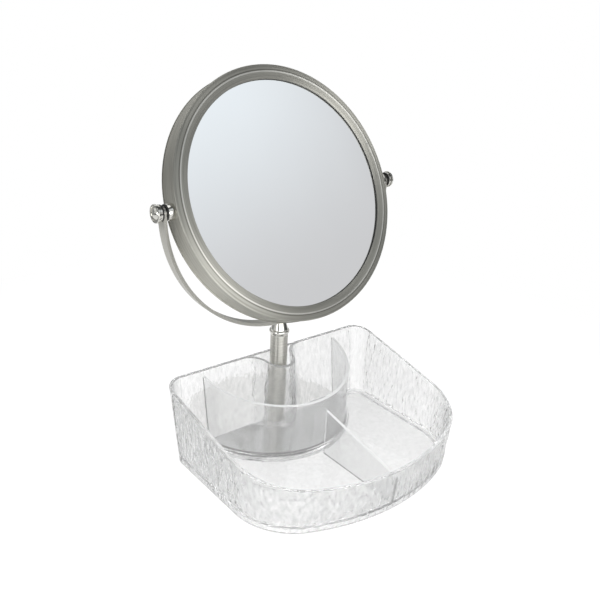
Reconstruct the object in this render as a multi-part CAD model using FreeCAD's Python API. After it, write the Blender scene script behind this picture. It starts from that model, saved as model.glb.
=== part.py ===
import FreeCAD, Part
import math
import os

# Two-sided vanity mirror on a steel stand, with a clear moulded organiser tray over its base.
# Millimetres. +Z is up, +X is to the user's right and -Y faces the user. The origin is under
# the stem's axis, on the surface that the object stands on.

V = FreeCAD.Vector
X_AXIS = V(1, 0, 0)
Y_AXIS = V(0, 1, 0)
Z_AXIS = V(0, 0, 1)

# ---- driving dimensions: the stand ----
pivot_height = 177.8          # mirror's tilt axis above the table
rest_tilt = 24.9              # degrees that the mirror leans back as stored
base_radius = 61.6            # steel base plate
base_thickness = 3.7
base_edge_round = 1.2
base_offset = 12.0            # the plate's centre lies this far behind the stem
pad_thickness = 0.8           # foam pad under the plate
pad_inset = 1.5
stem_radius = 6.35            # half-inch tube
stem_wall = 1.0
insert_length = 15.0          # threaded plugs in both ends of the tube
base_screw_radius = 3.0
base_screw_head_lip = 2.6     # countersunk head beyond the shank
base_screw_reach = 12.0       # thread engaged in the bottom plug
yoke_screw_radius = 2.5
yoke_screw_head_lip = 1.7
yoke_screw_head_height = 1.6
yoke_screw_reach = 10.0       # thread engaged in the top plug
collar_length = 9.6           # from the tube's top to the yoke's underside
collar_bead_proud = 0.95      # the bead stands this far out from the tube
collar_bead_height = 4.4
collar_neck_radius = 4.4

# ---- driving dimensions: the yoke and the pivots ----
yoke_thickness = 2.2
yoke_width = 7.4
yoke_room = 4.9               # between the frame and the yoke's inner face
pivot_stud_radius = 2.0
boss_radius = 5.2
boss_barrel = 0.35            # how far the boss bulges at mid length
washer_thickness = 0.6
washer_radius = 5.2
inner_washer_thickness = 0.75
inner_washer_inset = 0.2
knob_radius = 5.85
knob_ring_radius = 5.3
knob_ring_length = 1.5
knob_groove = 0.35
knob_groove_depth = 0.6
knob_disc_length = 1.1
knob_rim = 0.45
knob_rim_width = 1.1
knob_dome_radius = 3.6
knob_dome_height = 1.3
knob_break = 0.2              # broken edges and the dish round the dome
nut_length = 4.5

# ---- driving dimensions: the mirror head ----
glass_view_radius = 76.2      # six-inch visible glass
glass_thickness = 2.0
glass_set_back = 2.0          # glass face below the bezel's crest
glass_grip = 1.5              # glass hidden under the bezel's lip
rear_glass_dish = 2.2         # depth of the magnifying side
gasket_set_back = 0.15        # seal behind the lip's edge
bezel_slope_width = 5.0       # from the lip out to the ridge
bezel_ring_width = 4.9        # from the ridge out to the crest's edge
bezel_lip_drop = 0.7          # inner lip below the crest
bezel_lip_edge = 0.45         # thickness of the lip's edge
bezel_ring_fall = 0.45        # outer edge below the ridge
bezel_ridge_half = 0.9
bezel_ridge_proud = 0.1
bezel_slope_crown = 0.15
bezel_crest_round = 0.8
bezel_metal = 1.0
bezel_depth = 1.6             # height of the bezel's outer edge
bezel_skirt = 1.8             # reach of its skirt inside the band
frame_half_depth = 8.5
band_set_in = 0.5             # band below the bezels' outer edge
band_wall = 1.1
spacer_width = 4.5

# ---- driving dimensions: the tray ----
tray_half_width = 85.8        # outside, at the table
tray_back = 2.9               # outer back face, at the table
tray_front = -125.3
tray_front_radius = 148.5
tray_front_corner = 44.0
tray_back_corner = 9.0
tray_wall = 2.2
tray_side_draft = 0.080       # outward lean per millimetre of height
tray_back_draft = 0.130
rim_back_height = 58.2        # rim height above the back wall's outer face
rim_slope = 0.207             # the rim falls this much per millimetre towards the user
foot_chamfer = 0.6
foot_width = 3.8              # rim that the tray stands on
floor_under = 2.6
floor_thickness = 1.9
floor_fillet = 2.0            # between the floor and the outer walls
deck_thickness = 1.2          # raised floor over the steel plate
deck_fillet = 0.7
arc_inset = 2.6               # middle of the curved divider inside the plate's edge
arc_forward = 1.0             # its centre in front of the plate's
arc_wall = 2.1
arc_drop = 4.0                # its rim below the tray's rim
divider_wall = 2.0
divider_drop = 5.5
alcove_top_room = 3.85        # between the stem and the alcove's front, at the rim
alcove_foot_room = 6.95
alcove_flare = 14.0           # concave corner from the alcove into the back wall
bulge_wall = 2.2              # half-round bulge in the back wall behind the stem

# ---- fits ----
seat_gap = 0.3                # loose seats between pieces that lift apart
turn_gap = 0.05               # radial, on the pivot studs
yoke_hole_gap = 0.08
face_gap = 0.30               # between the yoke and the turning faces beside it
nut_gap = 0.48                # nut corners below the bezels' skirts
stem_clearance = 1.05         # round the stem in the tray
screw_head_gap = 0.2

# ---- worked out from the above ----
plate_bottom = pad_thickness
plate_top = plate_bottom + base_thickness
floor_top = floor_under + floor_thickness
deck_under = plate_top + seat_gap
deck_top = deck_under + deck_thickness
pocket_radius = base_radius + seat_gap
deck_radius = pocket_radius + deck_thickness
arc_radius = base_radius - arc_inset
arc_centre = base_offset - arc_forward
alcove_top_radius = stem_radius + alcove_top_room + tray_wall
alcove_foot_radius = stem_radius + alcove_foot_room + tray_wall
lip_radius = glass_view_radius
ridge_radius = lip_radius + bezel_slope_width
frame_radius = ridge_radius + bezel_ring_width
glass_radius = lip_radius + glass_grip
glass_plane = frame_half_depth - glass_set_back
bezel_seam = frame_half_depth - bezel_depth
band_radius = frame_radius - band_set_in
band_inner = band_radius - band_wall
nut_corner = bezel_seam - bezel_skirt - nut_gap
yoke_inner = frame_radius + yoke_room
yoke_outer = yoke_inner + yoke_thickness
yoke_bottom = pivot_height - yoke_outer
stem_top = yoke_bottom - collar_length
boss_end = yoke_inner - face_gap - inner_washer_thickness
base_screw_head_radius = base_screw_radius + base_screw_head_lip
yoke_screw_head_radius = yoke_screw_radius + yoke_screw_head_lip
overcut = 1.0
tall = rim_back_height + 12.0
MIRROR_TURN = 90.0 - rest_tilt


def polygon(points):
    return Part.makePolygon(points + [points[0]])


def lathe(profile, axis_point, axis):
    """Revolve a closed wire into a solid."""
    return Part.Face(profile).revolve(axis_point, axis, 360)


def lathe_z(points):
    """Revolve (radius, height) points about the Z axis."""
    return lathe(polygon([V(r, 0, z) for r, z in points]), V(), Z_AXIS)


def ring(outer, inner, bottom, top, centre_y=0.0):
    """A plain tube standing along Z."""
    base = V(0, centre_y, bottom)
    tube = Part.makeCylinder(outer, top - bottom, base)
    return tube.cut(Part.makeCylinder(inner, top - bottom, base))


def cylinder_x(radius, start, end):
    """A cylinder along +X from start to end, on the pivot axis before it is raised."""
    return Part.makeCylinder(radius, end - start, V(start, 0, 0), X_AXIS)


def raise_to_pivot(shape):
    shape.translate(V(0, 0, pivot_height))
    return shape


def set_head(shape):
    """Place a piece made about Z into the mirror head, leaning back."""
    shape.rotate(V(), X_AXIS, MIRROR_TURN)
    return raise_to_pivot(shape)


def to_left(shape):
    """The same piece on the user's left, mirrored about the plane x = 0."""
    return shape.mirror(V(), X_AXIS)


# ---- the tray ----
def tray_outline(side, back, z):
    """The tray's outline at height z, grown outward by side and by back."""
    half = tray_half_width + side
    back_y = tray_back + back
    corner = tray_back_corner + side
    bow = tray_front_radius + side
    bow_y = tray_front + tray_front_radius
    turn = tray_front_corner + side
    turn_x = half - turn
    turn_y = bow_y - math.sqrt((bow - turn) ** 2 - turn_x ** 2)
    aim = math.atan2(turn_y - bow_y, turn_x)
    meet = V(bow * math.cos(aim), bow_y + bow * math.sin(aim), z)
    diagonal = math.sqrt(0.5)

    def flip(p):
        return V(-p.x, p.y, p.z)

    back_end = V(half - corner, back_y, z)
    corner_mid = V(half - corner + corner * diagonal, back_y - corner + corner * diagonal, z)
    side_start = V(half, back_y - corner, z)
    side_end = V(half, turn_y, z)
    turn_mid = V(turn_x + turn * math.cos(aim / 2), turn_y + turn * math.sin(aim / 2), z)
    apex = V(0, bow_y - bow, z)
    return Part.Wire([
        Part.LineSegment(flip(back_end), back_end).toShape(),
        Part.Arc(back_end, corner_mid, side_start).toShape(),
        Part.LineSegment(side_start, side_end).toShape(),
        Part.Arc(side_end, turn_mid, meet).toShape(),
        Part.Arc(meet, apex, flip(meet)).toShape(),
        Part.Arc(flip(meet), flip(turn_mid), flip(side_end)).toShape(),
        Part.LineSegment(flip(side_end), flip(side_start)).toShape(),
        Part.Arc(flip(side_start), flip(corner_mid), flip(back_end)).toShape(),
    ])


def tray_block(bottom, top, inset):
    """The space inside the tray's leaning walls between two heights, set in by inset."""
    ends = []
    for z in (bottom, top):
        ends.append(tray_outline(tray_side_draft * z - inset, tray_back_draft * z - inset, z))
    return Part.makeLoft(ends, True, True)


def flat_edges(shape, z):
    """The edges of a shape that lie flat at height z."""
    return [e for e in shape.Edges if e.BoundBox.ZMax - e.BoundBox.ZMin < 0.01 and abs(e.CenterOfMass.z - z) < 0.01]


def tray_inside():
    """The tray's hollow, with its floor's edge rounded."""
    inside = tray_block(floor_top, tall + overcut, tray_wall)
    return inside.makeFillet(floor_fillet, flat_edges(inside, floor_top))


def deck_block():
    """The raised round deck over the steel plate, down to the table."""
    deck = Part.makeCylinder(deck_radius, deck_top, V(0, base_offset, 0))
    return deck.makeFillet(deck_fillet, flat_edges(deck, deck_top))


def back_face(z, inset):
    """Where the back wall lies at height z, set in from its outer face."""
    return tray_back + tray_back_draft * z - inset


def above_rim(drop):
    """Everything above the sloping rim, lowered by drop."""
    rim_back = tray_back + tray_back_draft * rim_back_height
    far = 300.0

    def rim(y):
        return rim_back_height - drop + rim_slope * (y - rim_back)

    side = polygon([V(-far, -far, rim(-far)), V(-far, far, rim(far)), V(-far, far, far), V(-far, -far, far)])
    return Part.Face(side).extrude(V(2 * far, 0, 0))


def alcove_outline(z, front, flare, wall_y, centre_y):
    """A bell-shaped outline round the front of the stem, closed along the back wall at wall_y."""
    reach = front + flare
    centre_x = math.sqrt(reach ** 2 - centre_y ** 2)
    touch = V(centre_x * front / reach, centre_y * front / reach, z)
    start = math.acos(min(1.0, (wall_y - centre_y) / flare))
    end_angle = math.atan2(-centre_y, -centre_x) % (2 * math.pi)
    start_angle = math.pi / 2 + start
    middle = (start_angle + end_angle) / 2
    wall_end = V(centre_x + flare * math.cos(start_angle), wall_y, z)
    flare_mid = V(centre_x + flare * math.cos(middle), centre_y + flare * math.sin(middle), z)

    def flip(p):
        return V(-p.x, p.y, p.z)

    return Part.Wire([
        Part.LineSegment(flip(wall_end), wall_end).toShape(),
        Part.Arc(wall_end, flare_mid, touch).toShape(),
        Part.Arc(touch, V(0, -front, z), flip(touch)).toShape(),
        Part.Arc(flip(touch), flip(flare_mid), flip(wall_end)).toShape(),
    ])


def alcove_block(bottom, top, inset):
    """The alcove's outside, or its inside when inset by the wall."""
    ends = []
    for z in (bottom, top):
        share = (z - deck_top) / (rim_back_height - deck_top)
        front = alcove_foot_radius + (alcove_top_radius - alcove_foot_radius) * share
        wall_y = back_face(z, tray_wall)
        ends.append(alcove_outline(z, front - inset, alcove_flare + inset, wall_y, wall_y - alcove_flare))
    return Part.makeLoft(ends, True, True)


def make_tray():
    outside = tray_block(0, tall, 0)
    outside = outside.makeChamfer(foot_chamfer, flat_edges(outside, 0))
    shell = outside.cut(tray_inside())
    shell = shell.cut(tray_block(-overcut, floor_under, foot_width))
    deck = deck_block().common(outside)
    bulge_radius = stem_radius + stem_clearance + bulge_wall
    bulge = Part.makeCylinder(bulge_radius, tall, V()).common(
        Part.makeBox(2 * bulge_radius, bulge_radius, tall, V(-bulge_radius, 0, 0)))
    shell = shell.fuse([deck, alcove_block(floor_under, tall, 0), bulge])
    shell = shell.cut(Part.makeCylinder(pocket_radius, deck_under + overcut, V(0, base_offset, -overcut)))
    shell = shell.cut(alcove_block(deck_top, tall + overcut, tray_wall))
    shell = shell.cut(Part.makeCylinder(stem_radius + stem_clearance, tall + overcut, V()))
    return shell.cut(above_rim(0)).removeSplitter()


def make_arc_divider():
    wall = ring(arc_radius + arc_wall / 2, arc_radius - arc_wall / 2, deck_top, tall, arc_centre)
    wall = wall.common(tray_inside())
    return wall.cut(above_rim(arc_drop))


def make_centre_divider():
    length = arc_centre - tray_front
    plate = Part.makeBox(divider_wall, length, tall, V(-divider_wall / 2, tray_front - length / 2, 0))
    plate = plate.common(tray_inside()).cut(deck_block())
    plate = plate.cut(Part.makeCylinder(arc_radius + arc_wall / 2, tall, V(0, arc_centre, 0)))
    return plate.cut(above_rim(divider_drop))


# ---- base and stem ----
def make_base():
    plate = Part.makeCylinder(base_radius, base_thickness, V(0, base_offset, plate_bottom))
    top_edges = [e for e in plate.Edges if abs(e.CenterOfMass.z - plate_top) < 0.01 and e.Closed]
    plate = plate.makeFillet(base_edge_round, top_edges)
    head_depth = base_screw_head_radius - base_screw_radius
    plate = plate.cut(Part.makeCylinder(base_screw_radius, base_thickness, V(0, 0, plate_bottom)))
    return plate.cut(Part.makeCone(base_screw_head_radius, base_screw_radius, head_depth, V(0, 0, plate_bottom)))


def make_pad():
    return Part.makeCylinder(base_radius - pad_inset, pad_thickness, V(0, base_offset, 0))


def make_base_screw():
    head_depth = base_screw_head_radius - base_screw_radius
    head = Part.makeCone(base_screw_head_radius, base_screw_radius, head_depth, V(0, 0, plate_bottom))
    length = base_thickness + base_screw_reach
    return head.fuse(Part.makeCylinder(base_screw_radius, length, V(0, 0, plate_bottom))).removeSplitter()


def make_stem():
    return ring(stem_radius, stem_radius - stem_wall, plate_top, stem_top)


def make_insert(bottom, bore):
    return ring(stem_radius - stem_wall, bore, bottom, bottom + insert_length)


def yoke_cylinder(radius):
    """The yoke's round surface: a cylinder along Y about the pivot axis."""
    return Part.makeCylinder(radius, 6 * yoke_width, V(0, -3 * yoke_width, pivot_height), Y_AXIS)


def make_collar():
    bead_low = stem_top + 0.2 * collar_bead_height
    bead_mid = stem_top + 0.5 * collar_bead_height
    bead = stem_radius + collar_bead_proud
    bead_high = stem_top + collar_bead_height
    neck = stem_radius - 0.1
    bore = yoke_screw_radius
    top = yoke_bottom + overcut
    edges = [
        Part.LineSegment(V(bore, 0, stem_top), V(stem_radius, 0, stem_top)).toShape(),
        Part.LineSegment(V(stem_radius, 0, stem_top), V(stem_radius + 0.2, 0, bead_low)).toShape(),
        Part.Arc(V(stem_radius + 0.2, 0, bead_low), V(bead, 0, bead_mid), V(neck, 0, bead_high)).toShape(),
        Part.LineSegment(V(neck, 0, bead_high), V(collar_neck_radius, 0, top)).toShape(),
        Part.LineSegment(V(collar_neck_radius, 0, top), V(bore, 0, top)).toShape(),
        Part.LineSegment(V(bore, 0, top), V(bore, 0, stem_top)).toShape(),
    ]
    return lathe(Part.Wire(edges), V(), Z_AXIS).cut(yoke_cylinder(yoke_outer))


# ---- yoke ----
def make_yoke():
    hoop = Part.makeCylinder(yoke_outer, yoke_width, V(0, -yoke_width / 2, 0), Y_AXIS)
    hoop = hoop.cut(Part.makeCylinder(yoke_inner, yoke_width, V(0, -yoke_width / 2, 0), Y_AXIS))
    lower = Part.makeBox(2 * yoke_outer, yoke_width, yoke_outer, V(-yoke_outer, -yoke_width / 2, -yoke_outer))
    yoke = hoop.common(lower)
    for side in (1, -1):
        start = yoke_inner if side > 0 else -yoke_outer
        yoke = yoke.fuse(cylinder_x(yoke_width / 2, start, start + yoke_thickness))
        yoke = yoke.cut(cylinder_x(pivot_stud_radius + yoke_hole_gap, start - overcut,
                                   start + yoke_thickness + overcut))
    yoke = yoke.cut(Part.makeCylinder(yoke_screw_radius, 2 * yoke_thickness, V(0, 0, -yoke_outer - overcut)))
    yoke = yoke.cut(Part.makeCylinder(yoke_screw_head_radius + screw_head_gap, yoke_thickness, V(0, 0, -yoke_inner)))
    return raise_to_pivot(yoke.removeSplitter())


def make_yoke_screw():
    seat = pivot_height - yoke_inner
    head = Part.makeCylinder(yoke_screw_head_radius, yoke_screw_head_height, V(0, 0, seat))
    crown = [e for e in head.Edges if abs(e.CenterOfMass.z - seat - yoke_screw_head_height) < 0.01 and e.Closed]
    head = head.makeFillet(yoke_screw_head_height * 0.6, crown)
    bottom = stem_top - yoke_screw_reach
    return head.fuse(Part.makeCylinder(yoke_screw_radius, seat - bottom, V(0, 0, bottom))).removeSplitter()


# ---- mirror head, made about Z with the front side up ----
def make_band():
    band = ring(band_radius, band_inner, -bezel_seam, bezel_seam)
    hole = pivot_stud_radius + turn_gap
    band = band.cut(cylinder_x(hole, -band_radius - overcut, band_radius + overcut))
    return set_head(band)


def bezel_roof(radius):
    """Height of the bezel's underside, from the lip out to the ridge."""
    at_lip = frame_half_depth - bezel_lip_drop - bezel_lip_edge
    at_ridge = frame_half_depth - 1.4 * bezel_metal
    return at_lip + (at_ridge - at_lip) * (radius - lip_radius) / bezel_slope_width


def bezel_section():
    """Half section of a bezel, front side up: rounded edge, falling ring, ridge and crowned slope."""
    high = frame_half_depth
    lip_z = high - bezel_lip_drop
    brow = high - bezel_ring_fall
    crest = bezel_crest_round
    crest_mid = crest * (1 - math.sqrt(0.5))
    skirt_in = band_inner - bezel_metal
    edge = bezel_seam
    shoulder = high - bezel_ridge_proud
    slope_out = ridge_radius - bezel_ridge_half
    pts = {
        "seam": V(frame_radius, 0, edge),
        "side": V(frame_radius, 0, brow - crest),
        "crest": V(frame_radius - crest_mid, 0, brow - crest_mid),
        "top": V(frame_radius - crest, 0, brow),
        "ring_in": V(ridge_radius + bezel_ridge_half, 0, shoulder),
        "ridge": V(ridge_radius, 0, high),
        "ridge_in": V(slope_out, 0, shoulder),
        "slope": V((slope_out + lip_radius) / 2, 0, (shoulder + lip_z) / 2 + bezel_slope_crown),
        "lip": V(lip_radius, 0, lip_z),
        "lip_in": V(lip_radius, 0, bezel_roof(lip_radius)),
        "under": V(ridge_radius, 0, bezel_roof(ridge_radius)),
        "skirt_top": V(skirt_in, 0, bezel_roof(ridge_radius)),
        "skirt_in": V(skirt_in, 0, edge - bezel_skirt),
        "skirt_out": V(band_inner, 0, edge - bezel_skirt),
        "step": V(band_inner, 0, edge),
    }
    line = [("seam", "side"), ("top", "ring_in"), ("lip", "lip_in"), ("lip_in", "under"), ("under", "skirt_top"),
            ("skirt_top", "skirt_in"), ("skirt_in", "skirt_out"), ("skirt_out", "step"), ("step", "seam")]
    arcs = {"side": ("crest", "top"), "ring_in": ("ridge", "ridge_in"), "ridge_in": ("slope", "lip")}
    edges = []
    here = "seam"
    nexts = dict(line)
    for _ in range(len(line) + len(arcs)):
        if here in nexts:
            there = nexts[here]
            edges.append(Part.LineSegment(pts[here], pts[there]).toShape())
        else:
            middle, there = arcs[here]
            edges.append(Part.Arc(pts[here], pts[middle], pts[there]).toShape())
        here = there
    return Part.Wire(edges)


def make_bezel():
    return lathe(bezel_section(), V(), Z_AXIS)


def make_front_glass():
    return Part.makeCylinder(glass_radius, glass_thickness, V(0, 0, glass_plane - glass_thickness))


def make_rear_glass():
    """The magnifying side: the same outline, slumped to a shallow dish."""
    edge = glass_radius
    top = glass_plane
    middle = edge / 2
    dish = rear_glass_dish
    bend = (edge ** 2 + dish ** 2) / (2 * dish)
    drop = dish - (bend - math.sqrt(bend ** 2 - middle ** 2))
    face = Part.Arc(V(edge, 0, top), V(middle, 0, top - drop), V(0, 0, top - dish)).toShape()
    low = top - glass_thickness
    back = Part.Arc(V(0, 0, low - dish), V(middle, 0, low - drop), V(edge, 0, low)).toShape()
    axis = Part.LineSegment(V(0, 0, top - dish), V(0, 0, low - dish)).toShape()
    rim = Part.LineSegment(V(edge, 0, low), V(edge, 0, top)).toShape()
    return lathe(Part.Wire([face, axis, back, rim]), V(), Z_AXIS)


def make_gasket():
    """Flat seal between the glass and the underside of the bezel's lip."""
    inner = lip_radius + gasket_set_back
    return lathe_z([(inner, glass_plane), (glass_radius, glass_plane), (glass_radius, bezel_roof(glass_radius)),
                    (inner, bezel_roof(inner))])


def make_spacer():
    """Ring between the two glasses, its rear face following the dished one."""
    back = glass_plane - glass_thickness
    spacer = ring(glass_radius, glass_radius - spacer_width, -back, back)
    return spacer.cut(to_rear(make_rear_glass()))


def to_rear(shape):
    turned = shape.copy()
    turned.rotate(V(), X_AXIS, 180)
    return turned


# ---- pivots, made on the user's right along +X ----
def barrel(start, end, radius, swell):
    middle = (start + end) / 2
    edges = [
        Part.LineSegment(V(start, 0, 0), V(start, radius, 0)).toShape(),
        Part.Arc(V(start, radius, 0), V(middle, radius + swell, 0), V(end, radius, 0)).toShape(),
        Part.LineSegment(V(end, radius, 0), V(end, 0, 0)).toShape(),
        Part.LineSegment(V(end, 0, 0), V(start, 0, 0)).toShape(),
    ]
    return lathe(Part.Wire(edges), V(), X_AXIS)


def make_boss():
    boss = barrel(band_radius - overcut, boss_end, boss_radius, boss_barrel)
    boss = boss.cut(cylinder_x(pivot_stud_radius + turn_gap, band_radius - 2 * overcut, boss_end + overcut))
    band = Part.makeCylinder(band_radius, 4 * boss_radius, V(0, 0, -2 * boss_radius))
    band.rotate(V(), X_AXIS, MIRROR_TURN)
    return boss.cut(band)


def make_nut():
    """A hexagon nut brazed inside the band, its outer end hollowed to the band's curve."""
    start = band_inner - nut_length
    corners = []
    for k in range(6):
        angle = math.radians(60 * k)
        corners.append(V(start, nut_corner * math.cos(angle), nut_corner * math.sin(angle)))
    nut = Part.Face(polygon(corners)).extrude(V(nut_length, 0, 0))
    nut = nut.cut(cylinder_x(pivot_stud_radius + turn_gap, start - overcut, band_radius))
    reach = Part.makeCylinder(band_inner, 4 * nut_corner, V(0, 0, -2 * nut_corner))
    reach.rotate(V(), X_AXIS, MIRROR_TURN)
    return nut.common(reach)


def washer_x(start, length, radius):
    bore = pivot_stud_radius + turn_gap
    return cylinder_x(radius, start, start + length).cut(cylinder_x(bore, start - overcut, start + length + overcut))


def knob_start():
    return yoke_outer + washer_thickness + face_gap


def make_knob():
    """Grip ring, groove, and an end disc with a raised rim round a low dome."""
    start = knob_start()
    ring_end = start + knob_ring_length
    disc = ring_end + knob_groove
    end = disc + knob_disc_length
    rim_out = knob_radius - 1.5 * knob_break
    rim_in = knob_radius - knob_rim_width
    groove = knob_ring_radius - knob_groove_depth
    floor = end - knob_break
    bore = pivot_stud_radius
    dome_top = end + knob_dome_height
    points = [
        (start, bore), (start, knob_ring_radius - knob_break), (start + knob_break, knob_ring_radius),
        (ring_end, knob_ring_radius), (ring_end, groove), (disc, groove), (disc, knob_radius - knob_break),
        (disc + knob_break, knob_radius), (end, knob_radius), (end + knob_rim, rim_out),
        (end + knob_rim, rim_in + knob_break), (floor, rim_in), (floor, knob_dome_radius),
    ]
    edges = []
    for (a, r), (b, s) in zip(points, points[1:]):
        edges.append(Part.LineSegment(V(a, r, 0), V(b, s, 0)).toShape())
    dome_foot = V(floor, knob_dome_radius, 0)
    rise = dome_top - floor
    bend = (knob_dome_radius ** 2 + rise ** 2) / (2 * rise)
    half = knob_dome_radius / 2
    dome_mid = V(dome_top - bend + math.sqrt(bend ** 2 - half ** 2), half, 0)
    edges.append(Part.Arc(dome_foot, dome_mid, V(dome_top, 0, 0)).toShape())
    edges.append(Part.LineSegment(V(dome_top, 0, 0), V(floor, 0, 0)).toShape())
    edges.append(Part.LineSegment(V(floor, 0, 0), V(floor, bore, 0)).toShape())
    edges.append(Part.LineSegment(V(floor, bore, 0), V(start, bore, 0)).toShape())
    return lathe(Part.Wire(edges), V(), X_AXIS)


def make_stud():
    start = band_inner - nut_length - 1.0
    end = knob_start() + knob_ring_length + knob_groove + knob_disc_length - knob_break
    return cylinder_x(pivot_stud_radius, start, end)


# ---- every piece, by the name of its node ----
def all_pieces():
    head = {
        "mirror_band": make_band(),
        "front_bezel": set_head(make_bezel()),
        "rear_bezel": set_head(to_rear(make_bezel())),
        "front_glass": set_head(make_front_glass()),
        "rear_glass": set_head(to_rear(make_rear_glass())),
        "front_gasket": set_head(make_gasket()),
        "rear_gasket": set_head(to_rear(make_gasket())),
        "spacer_ring": set_head(make_spacer()),
    }
    pieces = {
        "tray_shell": make_tray(),
        "arc_divider": make_arc_divider(),
        "centre_divider": make_centre_divider(),
        "base_plate": make_base(),
        "base_pad": make_pad(),
        "base_screw": make_base_screw(),
        "stem_tube": make_stem(),
        "stem_bottom_insert": make_insert(plate_top, base_screw_radius),
        "stem_top_insert": make_insert(stem_top - insert_length, yoke_screw_radius),
        "stem_collar": make_collar(),
        "yoke": make_yoke(),
        "yoke_screw": make_yoke_screw(),
    }
    pieces.update(head)
    side_pieces = {
        "pivot_boss": make_boss(),
        "pivot_nut": make_nut(),
        "inner_washer": washer_x(boss_end, inner_washer_thickness, washer_radius - inner_washer_inset),
        "outer_washer": washer_x(yoke_outer, washer_thickness, washer_radius),
        "stud": make_stud(),
        "knob": make_knob(),
    }
    for name, shape in side_pieces.items():
        pieces["right_" + name] = raise_to_pivot(shape.copy())
        pieces["left_" + name] = raise_to_pivot(to_left(shape))
    return pieces


os.makedirs("parts", exist_ok=True)
for name, shape in all_pieces().items():
    solids = shape.Solids
    if len(solids) != 1 or not shape.isValid():
        print("CHECK", name, len(solids), shape.isValid())
    solids[0].exportStep("parts/" + name + ".step")
    box = solids[0].BoundBox
    print("%-20s %9.1f mm3  x %.1f..%.1f  y %.1f..%.1f  z %.1f..%.1f" % (
        name, solids[0].Volume, box.XMin, box.XMax, box.YMin, box.YMax, box.ZMin, box.ZMax))
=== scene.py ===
# %% [markdown]
# # A vanity mirror that stands in a clear tray
# The object is a round two-sided mirror in a half-hoop yoke, on a short stem and a steel disc.
# A clear tray sits over the disc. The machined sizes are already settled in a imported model, so
# this lesson loads it, dresses each piece in a material, and rebuilds in finer mesh what a plain
# solid can't show, such as the rippled outside of the tray.

# %% Load the frame
import math

import bmesh
import bpy
from mathutils import Matrix, Vector


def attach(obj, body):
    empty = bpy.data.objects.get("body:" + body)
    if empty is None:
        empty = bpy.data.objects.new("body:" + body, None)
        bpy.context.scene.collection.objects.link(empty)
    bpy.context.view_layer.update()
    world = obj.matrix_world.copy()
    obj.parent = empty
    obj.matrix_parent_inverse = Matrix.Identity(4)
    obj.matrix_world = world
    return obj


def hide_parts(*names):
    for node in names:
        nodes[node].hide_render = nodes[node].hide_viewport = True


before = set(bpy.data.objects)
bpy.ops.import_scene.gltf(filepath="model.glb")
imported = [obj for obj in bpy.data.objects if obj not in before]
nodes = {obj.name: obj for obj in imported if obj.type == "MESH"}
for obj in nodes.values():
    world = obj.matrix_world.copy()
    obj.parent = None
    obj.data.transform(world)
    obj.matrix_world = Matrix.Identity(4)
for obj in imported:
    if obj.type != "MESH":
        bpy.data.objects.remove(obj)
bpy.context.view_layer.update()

# %% [markdown]
# Blender works in metres and in linear light, and people measure in millimetres and pick colours
# as sRGB hex values. Two small helpers do the change, so every number below can be read as it
# would be measured. A third adds a shader node with its settings and links in one line, which
# keeps the material cells short enough to read.

# %% Helpers for sizes, colours and nodes
MM = 0.001


def hex_to_linear(code):
    """An sRGB hex colour as the linear RGBA that shaders use."""
    channels = [int(code[start:start + 2], 16) / 255 for start in (1, 3, 5)]
    linear = [c / 12.92 if c <= 0.04045 else ((c + 0.055) / 1.055) ** 2.4 for c in channels]
    return (*linear, 1.0)


def add_node(tree, kind, values=None, links=None, **properties):
    """Add a node, set its properties and input values, and link inputs to other nodes' outputs."""
    node = tree.nodes.new(kind)
    for name, value in properties.items():
        setattr(node, name, value)
    for socket, value in (values or {}).items():
        node.inputs[socket].default_value = value
    for socket, source in (links or {}).items():
        tree.links.new(source, node.inputs[socket])
    return node


def start_material(name):
    """An empty node material and its tree."""
    material = bpy.data.materials.new(name)
    material.use_nodes = True
    material.node_tree.nodes.clear()
    return material, material.node_tree


print("nickel grey in linear light:", [round(c, 3) for c in hex_to_linear("#b9b6ab")])

# %% [markdown]
# The camera stands to the user's left of the object and looks down on it by 22 degrees, rolled by
# nearly 3. A camera's own axes are its right, its up and its back, so writing those three as the
# columns of a matrix places it exactly, with no angles to untangle.

# %% Camera
LOOK_AZIMUTH = math.radians(39.43)
LOOK_DOWN = math.radians(22.28)
LOOK_ROLL = math.radians(2.76)
FOCAL_PIXELS = 741.49
FRAME_PIXELS = 600.0
SENSOR = 36.0                 # film width in millimetres
NEAREST, FARTHEST = 0.01, 100.0
EYE = Vector((-299.2, -385.7, 301.7)) * MM

ahead = Vector((
    math.sin(LOOK_AZIMUTH) * math.cos(LOOK_DOWN),
    math.cos(LOOK_AZIMUTH) * math.cos(LOOK_DOWN),
    -math.sin(LOOK_DOWN),
))
level = Vector((math.cos(LOOK_AZIMUTH), -math.sin(LOOK_AZIMUTH), 0.0))
upward = level.cross(ahead)
side = math.cos(LOOK_ROLL) * level + math.sin(LOOK_ROLL) * upward
top = -math.sin(LOOK_ROLL) * level + math.cos(LOOK_ROLL) * upward
camera_data = bpy.data.cameras.new("camera")
camera = bpy.data.objects.new("camera", camera_data)
bpy.context.scene.collection.objects.link(camera)
pose = Matrix((side, top, -ahead)).transposed().to_4x4()
pose.translation = EYE
camera.matrix_world = pose
camera_data.sensor_width = SENSOR
camera_data.lens = FOCAL_PIXELS / FRAME_PIXELS * SENSOR
camera_data.clip_start = NEAREST
camera_data.clip_end = FARTHEST
bpy.context.scene.camera = camera
bpy.context.scene.view_settings.view_transform = "Standard"
print("lens", round(camera_data.lens, 2), "mm")

# %% [markdown]
# Metal and mirror show their surroundings more than themselves, so most of their look is the room.
# This one is a dark grey studio: a long soft box over the user for the glass to show, a low lamp
# in front that fans out on the brushed ring, a strip lamp on the left for the stem's bright line,
# pale walls behind and beside, and a soft box overhead. It is drawn in the world's shader, by
# compass bearing and height above the horizon in degrees, which is easier to plan than lamps.
# Bearing 0 is in front of the object, on the user's side, and it grows to the right. A later patch
# covers an earlier one.

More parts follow.
